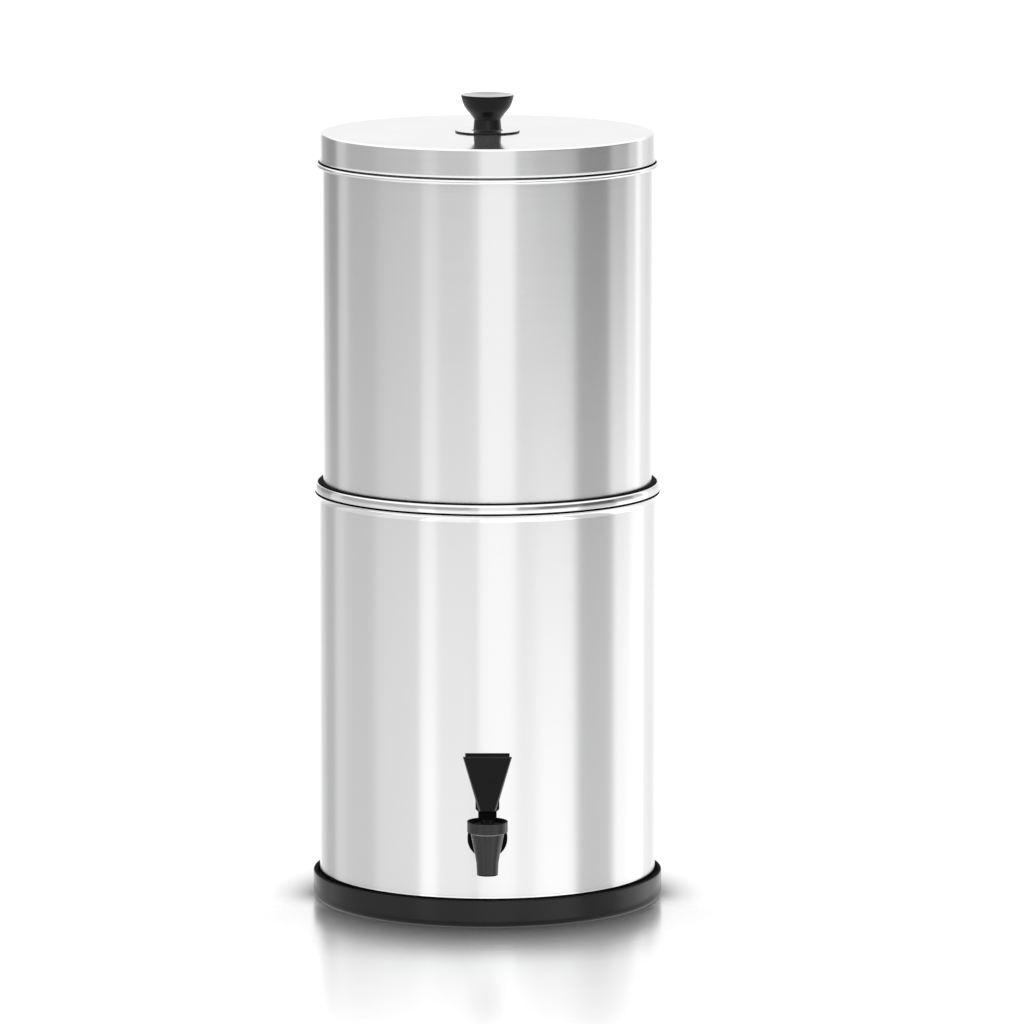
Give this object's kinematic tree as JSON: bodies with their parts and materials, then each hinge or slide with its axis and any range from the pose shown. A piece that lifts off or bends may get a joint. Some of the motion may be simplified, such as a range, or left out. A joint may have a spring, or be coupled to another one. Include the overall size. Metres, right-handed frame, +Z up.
{
  "type": "gravity water filter with tap",
  "caption": "Free-standing gravity water filter: nested round steel tanks, lift-off lid with knob, filter elements inside and a lever tap at the front.",
  "frame": {"origin": "on the floor, at the centre of the base tray's underside", "axes": "+Z up along the axis of the tanks, -Y towards the tap and the user, +X to the right seen from the front"},
  "size_m": [0.24, 0.2882, 0.555],
  "materials": {
    "black_base": "satin moulded plastic",
    "lower_steel": "brushed, bright",
    "upper_steel": "brushed, soft grey",
    "lid_steel": "brushed skirt, polished top",
    "polished_steel": "polished",
    "spring_steel": "bright drawn",
    "black_rubber": "matt",
    "red_rubber": "matt silicone",
    "clear_rubber": "milky silicone",
    "tap_black": "satin gloss",
    "lever_black": "satin gloss",
    "knob_black": "satin gloss",
    "filter_plastic": "moulded",
    "carbon": "porous pressed carbon",
    "brass": "turned"
  },
  "bodies": {
    "lower_chamber": {"base_tray": "black_base", "lower_tank": "lower_steel", "tap_body": "tap_black", "tap_outer_gasket": "black_rubber", "tap_inner_gasket": "black_rubber", "tap_nut": "tap_black", "tap_bonnet": "tap_black"},
    "tap_valve": {"valve_stem": "tap_black", "seat_cup": "clear_rubber", "valve_spring": "spring_steel", "lever_pin": "tap_black"},
    "tap_lever": {"tap_lever": "lever_black"},
    "upper_chamber": {"upper_tank": "upper_steel", "chamber_seal": "black_rubber", "left_filter_element": "carbon", "right_filter_element": "carbon", "left_filter_cap": "filter_plastic", "right_filter_cap": "filter_plastic", "left_filter_base": "filter_plastic", "right_filter_base": "filter_plastic", "filter_washers": "red_rubber", "filter_wing_nuts": "filter_plastic"},
    "lid": {"lid_shell": "lid_steel", "lid_knob": "knob_black", "knob_flange": "polished_steel", "knob_insert": "brass", "knob_screw": "spring_steel", "knob_washer": "spring_steel"}
  },
  "joints": [
    {"name": "valve_lift", "type": "slide", "parent": "lower_chamber", "child": "tap_valve", "axis": [0, 0, 1], "range_m": [0, 0.0034], "deforming": ["valve_spring"]},
    {"name": "lever_tilt", "type": "hinge", "parent": "tap_valve", "child": "tap_lever", "pos_m": [0, -0.1545, 0.0816], "axis": [1, 0, 0], "range_deg": [0, 35], "stiffness_Nm_per_rad": 0.12},
    {"name": "upper_lift", "type": "slide", "parent": "lower_chamber", "child": "upper_chamber", "axis": [0, 0, 1], "range_m": [0, 0.08]},
    {"name": "lid_lift", "type": "slide", "parent": "upper_chamber", "child": "lid", "axis": [0, 0, 1], "range_m": [0, 0.06]}
  ],
  "couplings": [
    {"joint": "valve_lift", "follows": "lever_tilt", "m_per_rad": 0.0055}
  ]
}
